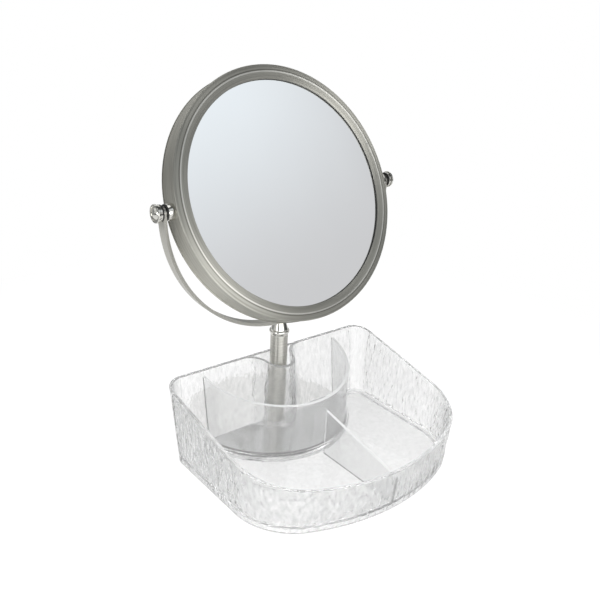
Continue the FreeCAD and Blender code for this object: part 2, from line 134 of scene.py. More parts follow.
# %% World: how the room is divided
ROOM_GREY = "#5e5f5f"
ROOM_PATCHES = (
    # bearings from and to, heights from and to, soft edge of each, colour, brightness
    ((-200, 200), (-95, -18), (1, 8), "#ffffff", 1.00),    # white sweep that the table runs into
    ((0, 46), (8, 36), (18, 9), "#d4d3d4", 1.00),          # long soft box over the user
    ((0, 40), (37, 38), (20, 20), "#f6fbff", 1.00),        # and its bright upper part
    ((-34, 12), (-10, 12), (14, 7), "#ffffff", 4.20),      # low lamp in front
    ((-78, -64), (0, 50), (5, 10), "#ffffff", 4.00),       # strip lamp on the left
    ((-200, -125), (-20, 12), (12, 8), "#a2a3a3", 1.00),   # dim corner behind, left
    ((125, 200), (-20, 12), (12, 8), "#a2a3a3", 1.00),     # and right
    ((-200, -120), (24, 48), (12, 10), "#ffffff", 1.05),   # pale wall behind, left
    ((110, 200), (24, 48), (12, 10), "#ffffff", 1.05),     # and right
    ((-95, -42), (26, 50), (14, 12), "#a8aaac", 1.00),     # dim screen before the strip lamp
    ((-118, -88), (4, 32), (10, 8), "#e8e8e8", 1.00),      # pale wall on the left
    ((80, 112), (4, 32), (14, 8), "#e8e8e8", 1.00),        # and on the right
    ((-200, 200), (74, 95), (1, 8), "#ffffff", 1.60),      # soft box overhead
)


def soft_band(tree, value, start, end, soft):
    """1 between start and end, falling smoothly to 0 over soft on both sides."""
    rise = add_node(
        tree, "ShaderNodeMapRange", {"From Min": start - soft, "From Max": start}, {"Value": value},
        interpolation_type="SMOOTHSTEP")
    fall = add_node(
        tree, "ShaderNodeMapRange", {"From Min": end + soft, "From Max": end}, {"Value": value},
        interpolation_type="SMOOTHSTEP")
    both = add_node(
        tree, "ShaderNodeMath", None, {0: rise.outputs[0], 1: fall.outputs[0]},
        operation="MULTIPLY")
    return both.outputs[0]


# %% World: draw the room
world = bpy.data.worlds.new("studio")
bpy.context.scene.world = world
world.use_nodes = True
sky = world.node_tree
sky.nodes.clear()
towards = add_node(sky, "ShaderNodeTexCoord").outputs["Generated"]
parts = add_node(sky, "ShaderNodeSeparateXYZ", None, {0: towards})
forward = add_node(
    sky, "ShaderNodeMath", {1: -1.0}, {0: parts.outputs[1]}, operation="MULTIPLY")
turned = add_node(
    sky, "ShaderNodeMath", None, {0: parts.outputs[0], 1: forward.outputs[0]},
    operation="ARCTAN2")
bearing = add_node(sky, "ShaderNodeMath", None, {0: turned.outputs[0]}, operation="DEGREES")
raised = add_node(sky, "ShaderNodeMath", None, {0: parts.outputs[2]}, operation="ARCSINE")
height = add_node(sky, "ShaderNodeMath", None, {0: raised.outputs[0]}, operation="DEGREES")
glow = add_node(sky, "ShaderNodeRGB").outputs[0]
glow.default_value = hex_to_linear(ROOM_GREY)
for bearings, heights, (soft_turn, soft_rise), colour, brightness in ROOM_PATCHES:
    across = soft_band(sky, bearing.outputs[0], *bearings, soft_turn)
    up = soft_band(sky, height.outputs[0], *heights, soft_rise)
    mask = add_node(sky, "ShaderNodeMath", None, {0: across, 1: up}, operation="MULTIPLY")
    shade = [channel * brightness for channel in hex_to_linear(colour)[:3]] + [1.0]
    glow = add_node(
        sky, "ShaderNodeMix", {7: shade}, {0: mask.outputs[0], 6: glow},
        data_type="RGBA").outputs[2]
print("patches in the room:", len(ROOM_PATCHES))

# %% [markdown]
# The backdrop is plain white, but only where it is looked at. Rays straight from the camera see it,
# and so do rays that come out of clear plastic, so that the tray is as bright as what is behind it.
# A ray that bounced off the stem and then left through a wall has to see the room all the same, or
# the stem would turn white there. Such a ray has both a glossy bounce and many crossings, each wall
# being two of them, and that is how it is told apart.

# %% World: which rays see the white backdrop
NO_BOUNCE = 0.5               # fewer glossy bounces than this is none
FEW_CROSSINGS = 3.5           # fewer crossings than this is one wall and a little more

path = add_node(sky, "ShaderNodeLightPath")
unbounced = add_node(
    sky, "ShaderNodeMath", {1: NO_BOUNCE}, {0: path.outputs["Glossy Depth"]},
    operation="LESS_THAN")
one_wall = add_node(
    sky, "ShaderNodeMath", {1: FEW_CROSSINGS}, {0: path.outputs["Transmission Depth"]},
    operation="LESS_THAN")
straight = add_node(
    sky, "ShaderNodeMath", None, {0: unbounced.outputs[0], 1: one_wall.outputs[0]},
    operation="MAXIMUM")
through = add_node(
    sky, "ShaderNodeMath", None, {0: path.outputs["Is Transmission Ray"], 1: straight.outputs[0]},
    operation="MULTIPLY")
seen = add_node(
    sky, "ShaderNodeMath", None, {0: path.outputs["Is Camera Ray"], 1: through.outputs[0]},
    operation="MAXIMUM")
studio = add_node(sky, "ShaderNodeBackground", {"Strength": 1.0}, {"Color": glow})
white = add_node(sky, "ShaderNodeBackground", {"Color": (1, 1, 1, 1), "Strength": 1.0})
both = add_node(
    sky, "ShaderNodeMixShader", None,
    {0: seen.outputs[0], 1: studio.outputs[0], 2: white.outputs[0]})
add_node(sky, "ShaderNodeOutputWorld", None, {"Surface": both.outputs[0]})
print("nodes in the room's shader:", len(sky.nodes))

# %% [markdown]
# The table is a sheet of white paper, 0.9 m wide. It glows for the camera, the metal and the clear
# plastic, and a small share of it stays ordinary matt paper, which is what keeps the soft shadow.
# Towards its border the glow takes over, so that no edge shows.

# %% Floor
TABLE_HALF = 450 * MM
TABLE_FORWARD = 40 * MM
TABLE_BELOW = 0.2 * MM        # just under the foot, so that the two don't flicker
SHEET_GLOW = 0.80
GLOW_STARTS, GLOW_FULL = 0.45, 0.9
FIBRE_SCALE = 900.0

floor_mesh = bpy.data.meshes.new("floor")
floor_form = bmesh.new()
for x, y in ((-1, -1), (1, -1), (1, 1), (-1, 1)):
    floor_form.verts.new((x * TABLE_HALF, y * TABLE_HALF - TABLE_FORWARD, -TABLE_BELOW))
floor_form.faces.new(floor_form.verts)
floor_form.to_mesh(floor_mesh)
floor_form.free()
floor = bpy.data.objects.new("floor", floor_mesh)
bpy.context.scene.collection.objects.link(floor)

sheet_material, sheet = start_material("matt_white_paper_sheet")
fibre = add_node(sheet, "ShaderNodeTexNoise", {"Scale": FIBRE_SCALE, "Detail": 3.0})
tone = add_node(
    sheet, "ShaderNodeMix", {6: hex_to_linear("#f0f0f0"), 7: hex_to_linear("#f6f6f6")},
    {0: fibre.outputs["Fac"]}, data_type="RGBA")
paper = add_node(sheet, "ShaderNodeBsdfDiffuse", None, {"Color": tone.outputs[2]})
shine = add_node(sheet, "ShaderNodeEmission", {"Color": (1, 1, 1, 1), "Strength": 1.0})
here = add_node(sheet, "ShaderNodeTexCoord").outputs["Object"]
reach = add_node(sheet, "ShaderNodeVectorMath", None, {0: here}, operation="LENGTH")
share = add_node(
    sheet, "ShaderNodeMapRange",
    {"From Min": GLOW_STARTS * TABLE_HALF, "From Max": GLOW_FULL * TABLE_HALF,
     "To Min": SHEET_GLOW, "To Max": 1.0},
    {"Value": reach.outputs["Value"]}, interpolation_type="SMOOTHSTEP")
path = add_node(sheet, "ShaderNodeLightPath")
seen = add_node(
    sheet, "ShaderNodeMath", None,
    {0: path.outputs["Is Camera Ray"], 1: path.outputs["Is Glossy Ray"]}, operation="MAXIMUM")
seen = add_node(
    sheet, "ShaderNodeMath", None, {0: seen.outputs[0], 1: path.outputs["Is Transmission Ray"]},
    operation="MAXIMUM")
share = add_node(
    sheet, "ShaderNodeMath", None, {0: share.outputs[0], 1: seen.outputs[0]},
    operation="MULTIPLY")
mixed = add_node(
    sheet, "ShaderNodeMixShader", None,
    {0: share.outputs[0], 1: paper.outputs[0], 2: shine.outputs[0]})
add_node(sheet, "ShaderNodeOutputMaterial", None, {"Surface": mixed.outputs[0]})
floor_mesh.materials.append(sheet_material)
print("sheet:", round(2 * TABLE_HALF / MM), "mm wide")

# %% [markdown]
# Three wide lamps give the light that falls on the table and on the plastic's upward edges, whose
# white share is a painted highlight. They are large and near, so shadows stay soft, and they are
# hidden from mirror-like surfaces, which already have the drawn room to show.

# %% Lamps
LAMPS = (
    # name, place in metres, width in metres, watts
    ("lamp_left", (-0.9, -0.5, 1.3), 1.2, 16.0),
    ("lamp_right", (1.0, -0.4, 1.1), 1.0, 8.0),
    ("lamp_above", (0.0, 0.5, 1.6), 1.6, 12.0),
)
AIM = Vector((0.0, -0.02, 0.1))

for name, place, width, watts in LAMPS:
    lamp_data = bpy.data.lights.new(name, "AREA")
    lamp_data.size = width
    lamp_data.energy = watts
    lamp = bpy.data.objects.new(name, lamp_data)
    lamp.location = place
    lamp.rotation_euler = (AIM - Vector(place)).to_track_quat("-Z", "Y").to_euler()
    lamp.visible_glossy = False
    bpy.context.scene.collection.objects.link(lamp)
print("lamps:", len(LAMPS))

# %% [markdown]
# The mirror leans back, so its brushed rings turn about a leaning axis. Each head material first
# turns the object's own coordinates upright, so that radius, height and the way round are easy to
# read off, and stay with the head when it tilts.

# %% Coordinates that turn with the head
PIVOT = Vector((0.0, 0.0, 177.8)) * MM
REST_TILT = 24.9              # degrees that the mirror leans back
HEAD_TURN = math.radians(90.0 - REST_TILT)


def upright(tree, centre, turn):
    """Object coordinates about a centre, with the piece's own axis turned back to Z."""
    here = add_node(tree, "ShaderNodeTexCoord").outputs["Object"]
    moved = add_node(tree, "ShaderNodeVectorMath", {1: centre}, {0: here}, operation="SUBTRACT")
    turned = add_node(
        tree, "ShaderNodeVectorRotate", {"Angle": -turn}, {"Vector": moved.outputs[0]},
        rotation_type="X_AXIS")
    return turned.outputs[0]


def around(tree, local):
    """Radius, height, and a unit vector that says which way round, from upright coordinates."""
    parts = add_node(tree, "ShaderNodeSeparateXYZ", None, {0: local})
    flat = add_node(
        tree, "ShaderNodeCombineXYZ", None, {0: parts.outputs[0], 1: parts.outputs[1]})
    radius = add_node(tree, "ShaderNodeVectorMath", None, {0: flat.outputs[0]}, operation="LENGTH")
    way = add_node(tree, "ShaderNodeVectorMath", None, {0: flat.outputs[0]}, operation="NORMALIZE")
    return radius.outputs["Value"], parts.outputs[2], way.outputs[0]


print("the head's axis is turned", round(math.degrees(HEAD_TURN), 1), "degrees from upright")


# %% [markdown]
# Brushed nickel is plated steel drawn past an abrasive belt, here turned on a lathe, so its
# scratches run round the piece. Real scratches are about 0.05 mm apart, finer than a picture can
# show, so these are drawn 0.5 mm apart. They change the roughness and tone a little, wider bands
# run round with them where the belt pressed harder, and an anisotropic shine, turned a quarter
# from the scratches, fans each highlight out across them, as on a record. The raised ridge of
# the head's ring gets a painted highlight on its crest, and a painted shade line in the groove
# beside it.

# %% Brushed nickel
SCRATCH_PITCH = 0.5 * MM
SCRATCH_SHORTNESS = 2.5       # higher is shorter scratches
SCRATCH_DEPTH = 0.02 * MM
BAND_SCALE = 0.45
UNEVEN_LOW, UNEVEN_HIGH = 0.70, 1.30    # where the two noises' sum mostly lies
# The ridge's two lines are painted light: a painted highlight on the crest, a painted shade outside
# it.
RIDGE_RADIUS = 81.2 * MM
RIDGE_GAP = 0.75 * MM
RIDGE_PAINT_SHARE = 0.8             # how fully the ridge's two lines cover the metal's tone


def brushed_nickel(name, centre, turn, tones, roughness, anisotropy, ridge=0.0):
    """Nickel brushed round an axis through centre, turned from Z about X; ridge is a radius."""
    material, tree = start_material(name)
    local = upright(tree, centre, turn)
    radius, height, way = around(tree, local)
    lines = add_node(tree, "ShaderNodeMath", None, {0: radius, 1: height}, operation="ADD")
    lines = add_node(
        tree, "ShaderNodeMath", {1: 1.0 / SCRATCH_PITCH}, {0: lines.outputs[0]},
        operation="MULTIPLY")
    way_parts = add_node(tree, "ShaderNodeSeparateXYZ", None, {0: way})
    seed = add_node(
        tree, "ShaderNodeCombineXYZ", None,
        {0: way_parts.outputs[0], 1: way_parts.outputs[1], 2: lines.outputs[0]})
    stretched = add_node(
        tree, "ShaderNodeVectorMath", {1: (SCRATCH_SHORTNESS, SCRATCH_SHORTNESS, 1.0)},
        {0: seed.outputs[0]}, operation="MULTIPLY")
    scratch = add_node(
        tree, "ShaderNodeTexNoise", {"Scale": 1.0, "Detail": 2.0},
        {"Vector": stretched.outputs[0]})
    bands = add_node(tree, "ShaderNodeCombineXYZ", None, {2: lines.outputs[0]})
    band = add_node(
        tree, "ShaderNodeTexNoise", {"Scale": BAND_SCALE, "Detail": 1.0},
        {"Vector": bands.outputs[0]})
    uneven = add_node(
        tree, "ShaderNodeMath", None, {0: scratch.outputs["Fac"], 1: band.outputs["Fac"]},
        operation="ADD")
    uneven = add_node(
        tree, "ShaderNodeMapRange", {"From Min": UNEVEN_LOW, "From Max": UNEVEN_HIGH},
        {"Value": uneven.outputs[0]})
    tone = add_node(
        tree, "ShaderNodeMix", {6: hex_to_linear(tones[0]), 7: hex_to_linear(tones[1])},
        {0: uneven.outputs[0]}, data_type="RGBA")
    # painted highlight on the ridge's crest, and a painted shade line in the groove just outside it
    if ridge:
        for at, colour in ((ridge + RIDGE_GAP, "#6c6b64"), (ridge, "#efeee8")):
            off = add_node(tree, "ShaderNodeMath", {1: at}, {0: radius}, operation="SUBTRACT")
            off = add_node(tree, "ShaderNodeMath", None, {0: off.outputs[0]}, operation="ABSOLUTE")
            line = add_node(
                tree, "ShaderNodeMapRange",
                {"From Min": RIDGE_GAP, "From Max": 0.3 * RIDGE_GAP, "To Max": RIDGE_PAINT_SHARE},
                {"Value": off.outputs[0]})
            tone = add_node(
                tree, "ShaderNodeMix", {7: hex_to_linear(colour)},
                {0: line.outputs[0], 6: tone.outputs[2]}, data_type="RGBA")
    rough = add_node(
        tree, "ShaderNodeMapRange", {"To Min": roughness - 0.05, "To Max": roughness + 0.07},
        {"Value": scratch.outputs["Fac"]})
    bump = add_node(
        tree, "ShaderNodeBump", {"Strength": 0.25, "Distance": SCRATCH_DEPTH},
        {"Height": scratch.outputs["Fac"]})
    axis = (0.0, -math.sin(turn), math.cos(turn))
    here = add_node(tree, "ShaderNodeTexCoord").outputs["Object"]
    out = add_node(tree, "ShaderNodeVectorMath", {1: centre}, {0: here}, operation="SUBTRACT")
    along = add_node(
        tree, "ShaderNodeVectorMath", {0: axis}, {1: out.outputs[0]}, operation="CROSS_PRODUCT")
    along = add_node(
        tree, "ShaderNodeVectorTransform", None, {0: along.outputs[0]}, vector_type="VECTOR",
        convert_from="OBJECT", convert_to="WORLD")
    metal = add_node(
        tree, "ShaderNodeBsdfPrincipled",
        {"Metallic": 1.0, "Anisotropic": anisotropy, "Anisotropic Rotation": 0.25},
        {"Base Color": tone.outputs[2], "Roughness": rough.outputs[0], "Normal": bump.outputs[0],
         "Tangent": along.outputs[0]})
    add_node(tree, "ShaderNodeOutputMaterial", None, {"Surface": metal.outputs[0]})
    return material


head_nickel = brushed_nickel(
    "brushed_nickel_head", PIVOT, HEAD_TURN, ("#94938c", "#bcbbb3"), 0.47, 0.85, RIDGE_RADIUS)
stem_nickel = brushed_nickel(
    "brushed_nickel_stem", Vector(), 0.0, ("#b0afa8", "#cac9c3"), 0.34, 0.9)
yoke_nickel = brushed_nickel(
    "brushed_nickel_yoke", PIVOT, math.radians(90.0), ("#a4a39c", "#bdbcb6"), 0.30, 0.8)
print("brushed nickel for the head has", len(head_nickel.node_tree.nodes), "nodes")

# %% [markdown]
# The knobs, bosses and collar are nickel too, but buffed, so they mirror the room with sharp dark
# and bright bands. A little uneven polish in the roughness keeps them from looking computed.

# %% Polished nickel and plated screws
def polished_metal(name, tones, roughness, smear):
    """Buffed metal with faint uneven polish; smear is the size of the marks in metres."""
    material, tree = start_material(name)
    here = add_node(tree, "ShaderNodeTexCoord").outputs["Object"]
    marks = add_node(
        tree, "ShaderNodeTexNoise", {"Scale": 1.0 / smear, "Detail": 4.0}, {"Vector": here})
    tone = add_node(
        tree, "ShaderNodeMix", {6: hex_to_linear(tones[0]), 7: hex_to_linear(tones[1])},
        {0: marks.outputs["Fac"]}, data_type="RGBA")
    rough = add_node(
        tree, "ShaderNodeMapRange", {"To Min": roughness * 0.6, "To Max": roughness * 1.4},
        {"Value": marks.outputs["Fac"]})
    metal = add_node(
        tree, "ShaderNodeBsdfPrincipled", {"Metallic": 1.0},
        {"Base Color": tone.outputs[2], "Roughness": rough.outputs[0]})
    add_node(tree, "ShaderNodeOutputMaterial", None, {"Surface": metal.outputs[0]})
    return material


polished_nickel = polished_metal("polished_nickel", ("#c4c3bd", "#d6d5d0"), 0.08, 3 * MM)
zinc_plate = polished_metal("bright_zinc_plate", ("#b4b6b8", "#cfd0d0"), 0.30, 1 * MM)
satin_steel = polished_metal("satin_stainless_steel", ("#e4e4e3", "#eeeeed"), 0.12, 12 * MM)
print("polished metals made")

# %% [markdown]
# A mirror is glass with silver behind it. The eye sees only the silver's reflection, with a trace
# of green from the glass, so one metallic surface with almost no roughness stands for both.

# %% Silvered glass
BLOOM_SIZE = 40 * MM
BLOOM_HAZE = 0.015


def silvered_glass():
    """Front-lit mirror with the faintest bloom where it has been wiped."""
    material, tree = start_material("silvered_glass")
    here = add_node(tree, "ShaderNodeTexCoord").outputs["Object"]
    bloom = add_node(
        tree, "ShaderNodeTexNoise", {"Scale": 1.0 / BLOOM_SIZE, "Detail": 3.0}, {"Vector": here})
    tone = add_node(
        tree, "ShaderNodeMix", {6: hex_to_linear("#f2f4f5"), 7: hex_to_linear("#f5f7f8")},
        {0: bloom.outputs["Fac"]}, data_type="RGBA")
    rough = add_node(
        tree, "ShaderNodeMapRange", {"To Min": 0.0, "To Max": BLOOM_HAZE},
        {"Value": bloom.outputs["Fac"]})
    silver = add_node(
        tree, "ShaderNodeBsdfPrincipled", {"Metallic": 1.0},
        {"Base Color": tone.outputs[2], "Roughness": rough.outputs[0]})
    add_node(tree, "ShaderNodeOutputMaterial", None, {"Surface": silver.outputs[0]})
    return material


mirror_silver = silvered_glass()
print("mirror finish made:", mirror_silver.name)

# %% [markdown]
# Four dull materials finish the hardware: black nylon washers, black rubber seals, the dark grey
# foam under the disc and the grey moulded ring between the glasses. Each is mostly diffuse, with
# fine moulded or cellular grain.

# %% Nylon, rubber, foam and moulded plastic
def dull_finish(name, tones, roughness, grain, depth):
    """A matt moulded finish; grain is the size of its marks and depth their height, in metres."""
    material, tree = start_material(name)
    here = add_node(tree, "ShaderNodeTexCoord").outputs["Object"]
    specks = add_node(
        tree, "ShaderNodeTexNoise", {"Scale": 1.0 / grain, "Detail": 5.0}, {"Vector": here})
    tone = add_node(
        tree, "ShaderNodeMix", {6: hex_to_linear(tones[0]), 7: hex_to_linear(tones[1])},
        {0: specks.outputs["Fac"]}, data_type="RGBA")
    bump = add_node(
        tree, "ShaderNodeBump", {"Strength": 0.5, "Distance": depth},
        {"Height": specks.outputs["Fac"]})
    skin = add_node(
        tree, "ShaderNodeBsdfPrincipled", {"Roughness": roughness},
        {"Base Color": tone.outputs[2], "Normal": bump.outputs[0]})
    add_node(tree, "ShaderNodeOutputMaterial", None, {"Surface": skin.outputs[0]})
    return material


black_nylon = dull_finish("black_nylon", ("#141414", "#1d1d1d"), 0.45, 0.6 * MM, 0.02 * MM)
black_rubber = dull_finish("black_rubber", ("#101010", "#1a1a1a"), 0.6, 0.8 * MM, 0.03 * MM)
foam = dull_finish("closed_cell_foam", ("#2c2c2c", "#3a3a3a"), 0.9, 0.9 * MM, 0.15 * MM)
grey_moulding = dull_finish(
    "grey_moulded_plastic", ("#77787a", "#828385"), 0.5, 0.5 * MM, 0.02 * MM)
print("dull finishes made:", black_nylon.name, black_rubber.name, foam.name, grey_moulding.name)

# %% [markdown]
# The tray is clear styrene, injection moulded. Clear plastic is mostly its edges: light bends where
# a wall ends or turns, and passes where it is flat. A wall seen at a slant is crossed by a longer
# way, so it is tinted more there, and a faint ripple makes both the bend and the tint uneven. The
# ripple is weaker on level faces, which the mould polishes. A little light piped up inside a wall
# comes out at its top. Upward edges get a share of white diffuse for it, a painted highlight along
# the rims, drawn stronger than that light is.
# Shadow rays pass as through thin film, because a path tracer otherwise draws the shade of clear
# plastic as if it were wood.

# %% Clear styrene
STYRENE_IOR = 1.57
CLEARNESS = 0.955
RIPPLE_WIDTH = 2.2 * MM
RIPPLE_STRETCH = 2.6
RIPPLE_FORCE = 0.6
NOISE_LOW, NOISE_HIGH = 0.36, 0.64      # where the noise mostly lies
WALL_RISE, LEVEL_RISE = 0.2, 0.9        # how much the normals of walls and level faces rise
LEVEL_SHARE = 0.4                       # how much of the ripple is left on level faces
TINT_FROM, TINT_FULL = 0.10, 0.80       # slants at which the tint begins and is full
# The milky edge is a painted highlight: a share of white diffuse on upward faces.
EDGE_FROM, EDGE_FULL = 0.45, 0.85       # rises at which the milky edge begins and is full
HAZE = 0.14                             # roughness at the haziest spots
FLOOR_TOP = 7.0 * MM                    # the milky edges begin above the floor


def clear_styrene(name, deep_tone, wave, spots, edge_glow):
    """Clear moulded plastic: wave is its ripple in metres, spots and edge_glow are shares."""
    material, tree = start_material(name)
    here = add_node(tree, "ShaderNodeTexCoord").outputs["Object"]
    drawn = add_node(
        tree, "ShaderNodeVectorMath", {1: (1.0, 1.0, 1.0 / RIPPLE_STRETCH)}, {0: here},
        operation="MULTIPLY")
    marks = add_node(
        tree, "ShaderNodeTexNoise", {"Scale": 1.0 / RIPPLE_WIDTH, "Detail": 2.0},
        {"Vector": drawn.outputs[0]})
    facing = add_node(tree, "ShaderNodeNewGeometry").outputs["Normal"]
    rise = add_node(tree, "ShaderNodeSeparateXYZ", None, {0: facing})
    level = add_node(tree, "ShaderNodeMath", None, {0: rise.outputs[2]}, operation="ABSOLUTE")
    upright_share = add_node(
        tree, "ShaderNodeMapRange",
        {"From Min": WALL_RISE, "From Max": LEVEL_RISE, "To Min": 1.0, "To Max": LEVEL_SHARE},
        {"Value": level.outputs[0]})
    force = add_node(
        tree, "ShaderNodeMath", {1: RIPPLE_FORCE}, {0: upright_share.outputs[0]},
        operation="MULTIPLY")
    waves = add_node(
        tree, "ShaderNodeBump", {"Distance": wave},
        {"Height": marks.outputs["Fac"], "Strength": force.outputs[0]})
    slant = add_node(tree, "ShaderNodeLayerWeight", {"Blend": 0.5}, {"Normal": waves.outputs[0]})
    deep = add_node(
        tree, "ShaderNodeMapRange", {"From Min": TINT_FROM, "From Max": TINT_FULL},
        {"Value": slant.outputs["Facing"]})
    spot = add_node(
        tree, "ShaderNodeMapRange",
        {"From Min": NOISE_LOW, "From Max": NOISE_HIGH, "To Min": -spots, "To Max": spots},
        {"Value": marks.outputs["Fac"]})
    spot = add_node(
        tree, "ShaderNodeMath", None, {0: spot.outputs[0], 1: upright_share.outputs[0]},
        operation="MULTIPLY")
    share = add_node(
        tree, "ShaderNodeMath", None, {0: deep.outputs[0], 1: spot.outputs[0]}, operation="ADD",
        use_clamp=True)
    tone = add_node(
        tree, "ShaderNodeMix", {6: hex_to_linear("#f8f8f8"), 7: hex_to_linear(deep_tone)},
        {0: share.outputs[0]}, data_type="RGBA")
    rough = add_node(
        tree, "ShaderNodeMapRange", {"To Min": 0.0, "To Max": HAZE},
        {"Value": marks.outputs["Fac"]})
    plastic = add_node(
        tree, "ShaderNodeBsdfPrincipled", {"Transmission Weight": CLEARNESS, "IOR": STYRENE_IOR},
        {"Base Color": tone.outputs[2], "Roughness": rough.outputs[0], "Normal": waves.outputs[0]})
    # Painted highlight: a share of white diffuse on upward faces above the floor, for the bright
    # rims.
    raised = add_node(tree, "ShaderNodeSeparateXYZ", None, {0: here})
    upwards = add_node(
        tree, "ShaderNodeMapRange", {"From Min": EDGE_FROM, "From Max": EDGE_FULL},
        {"Value": rise.outputs[2]})
    above = add_node(
        tree, "ShaderNodeMath", {1: FLOOR_TOP}, {0: raised.outputs[2]}, operation="GREATER_THAN")
    edge = add_node(
        tree, "ShaderNodeMath", None, {0: upwards.outputs[0], 1: above.outputs[0]},
        operation="MULTIPLY")
    edge = add_node(
        tree, "ShaderNodeMath", {1: edge_glow}, {0: edge.outputs[0]}, operation="MULTIPLY")
    painted_rim_white = add_node(tree, "ShaderNodeBsdfDiffuse", {"Color": hex_to_linear("#f4f5f5")})
    body = add_node(
        tree, "ShaderNodeMixShader", None,
        {0: edge.outputs[0], 1: plastic.outputs[0], 2: painted_rim_white.outputs[0]})
    film = add_node(tree, "ShaderNodeBsdfTransparent", {"Color": hex_to_linear("#f6f6f6")})
    path = add_node(tree, "ShaderNodeLightPath")
    mixed = add_node(
        tree, "ShaderNodeMixShader", None,
        {0: path.outputs["Is Shadow Ray"], 1: body.outputs[0], 2: film.outputs[0]})
    add_node(tree, "ShaderNodeOutputMaterial", None, {"Surface": mixed.outputs[0]})
    return material


tray_styrene = clear_styrene("clear_styrene_rain", "#acadad", 0.40 * MM, 0.16, 0.12)
divider_styrene = clear_styrene("clear_styrene_plain", "#c6c7c7", 0.08 * MM, 0.05, 0.40)
print("clear styrene for the tray has", len(tray_styrene.node_tree.nodes), "nodes")

# %% [markdown]
# Inside a clear wall light bounces many times before it comes out at an edge. With Blender's
# usual limits it is dropped on the way and the edges turn black, so the limits are raised.

# %% Let light travel further in the plastic
cycles = bpy.context.scene.cycles
cycles.max_bounces = 32
cycles.transmission_bounces = 24
cycles.glossy_bounces = 16
cycles.transparent_max_bounces = 32
print("bounces allowed:", cycles.max_bounces)

# %% [markdown]
# Each loaded piece now gets its finish. Curved faces are shaded smooth, and edges sharper than 30
# degrees stay crisp, which is what a turned part looks like.

# %% Dress the loaded pieces
FINISHES = {
    "tray_shell": tray_styrene, "arc_divider": divider_styrene, "centre_divider": divider_styrene,
    "base_plate": satin_steel, "base_pad": foam, "base_screw": zinc_plate,
    "stem_tube": stem_nickel, "stem_bottom_insert": zinc_plate, "stem_top_insert": zinc_plate,
    "stem_collar": polished_nickel, "yoke": yoke_nickel, "yoke_screw": polished_nickel,
    "mirror_band": head_nickel, "front_bezel": head_nickel, "rear_bezel": head_nickel,
    "front_glass": mirror_silver, "rear_glass": mirror_silver,
    "front_gasket": black_rubber, "rear_gasket": black_rubber, "spacer_ring": grey_moulding,
}
for side_name in ("left", "right"):
    FINISHES[side_name + "_pivot_boss"] = polished_nickel
    FINISHES[side_name + "_pivot_nut"] = zinc_plate
    FINISHES[side_name + "_inner_washer"] = black_nylon
    FINISHES[side_name + "_outer_washer"] = black_nylon
    FINISHES[side_name + "_stud"] = zinc_plate
    FINISHES[side_name + "_knob"] = polished_nickel

CRISP = math.radians(30.0)
for name, piece in nodes.items():
    piece.data.materials.clear()
    piece.data.materials.append(FINISHES[name])
    for face in piece.data.polygons:
        face.use_smooth = True
    piece.data.set_sharp_from_angle(angle=CRISP)
print("dressed:", len(nodes))

# %% [markdown]
# The tray's outside has a pattern like rain on a window: shallow dents about 2 mm wide and three
# times as tall, pressed by the mould. Clear plastic shows them by bending light, so they have to
# be real hollows in the mesh, and not only a shading trick. The loaded tray's walls are single
# tall facets, too coarse to dent. So a copy of its mesh is rounded along the rim, sliced finely
# on its outer walls, and dented there, and the copy stands for the original. First the copy is
# cleaned: doubled points are joined, and facets that lie in one plane become one.

# %% The tray: what its shape is
TRAY_BACK = 2.9 * MM
BACK_DRAFT = 0.130
RIM_BACK = 58.2 * MM
RIM_SLOPE = 0.207
DOUBLED = 0.001 * MM
SAME_PLANE = math.radians(0.3)


def rim_height(y):
    """Height of the sloping rim at depth y."""
    return RIM_BACK + RIM_SLOPE * (y - TRAY_BACK - BACK_DRAFT * RIM_BACK)


tray_form = bmesh.new()
tray_form.from_mesh(nodes["tray_shell"].data)
bmesh.ops.remove_doubles(tray_form, verts=tray_form.verts, dist=DOUBLED)
bmesh.ops.dissolve_limit(
    tray_form, angle_limit=SAME_PLANE, verts=tray_form.verts, edges=tray_form.edges)
print("tray facets to start with:", len(tray_form.faces))

# %% [markdown]
# The mould leaves the rim softly rounded, which is what draws a bright line along it. Its edges are
# the ones that lie on the rim's sloping plane, between the flat top and a wall.

# %% The tray: round the rim
RIM_ROUND = 0.55 * MM
ON_RIM = 0.01 * MM
WALL_LIFT, TOP_LIFT = 0.5, 0.9    # a wall's normal rises less than the first, a top's more


def on_rim(vertex):
    """True for a point on the rim's sloping plane."""
    return abs(vertex.co.z - rim_height(vertex.co.y)) < ON_RIM


rim_edges = []
for edge in tray_form.edges:
    if len(edge.link_faces) == 2 and all(on_rim(v) for v in edge.verts):
        lifts = sorted(face.normal.z for face in edge.link_faces)
        if lifts[0] < WALL_LIFT and lifts[1] > TOP_LIFT:
            rim_edges.append(edge)
bmesh.ops.bevel(
    tray_form, geom=rim_edges, offset=RIM_ROUND, segments=3, profile=0.5, affect="EDGES",
    clamp_overlap=True)
print("rim edges rounded:", len(rim_edges), "facets now:", len(tray_form.faces))

# %% [markdown]
# Parallel planes slice the outer walls, closer together across than upward, because the dents are
# narrow and tall. The wall of the stem's hole is left out: a smooth pin in the mould shapes it.

# %% The tray: slice the outer walls
SLICE_ACROSS = 0.65 * MM
SLICE_UP = 1.5 * MM
SLICE_SNAP = 0.002 * MM
TRAY_MIDDLE = Vector((0.0, -55.0, 0.0)) * MM
STEM_HOLE = 8.2 * MM
WALL_TALL = 12 * MM               # a wall's facets are taller than this
WALL_UPRIGHT = 0.3                # and their normals rise less than this


def outside_wall(face):
    """True for a wall facet that faces away from the tray's hollow, clear of the stem's hole."""
    centre = face.calc_center_median()
    away = centre - TRAY_MIDDLE
    away.z = 0.0
    heights = [v.co.z for v in face.verts]
    tall = max(heights) - min(heights) > WALL_TALL
    upright_face = abs(face.normal.z) < WALL_UPRIGHT
    clear = math.hypot(centre.x, centre.y) > STEM_HOLE
    return upright_face and face.normal.dot(away) > 0.0 and tall and clear


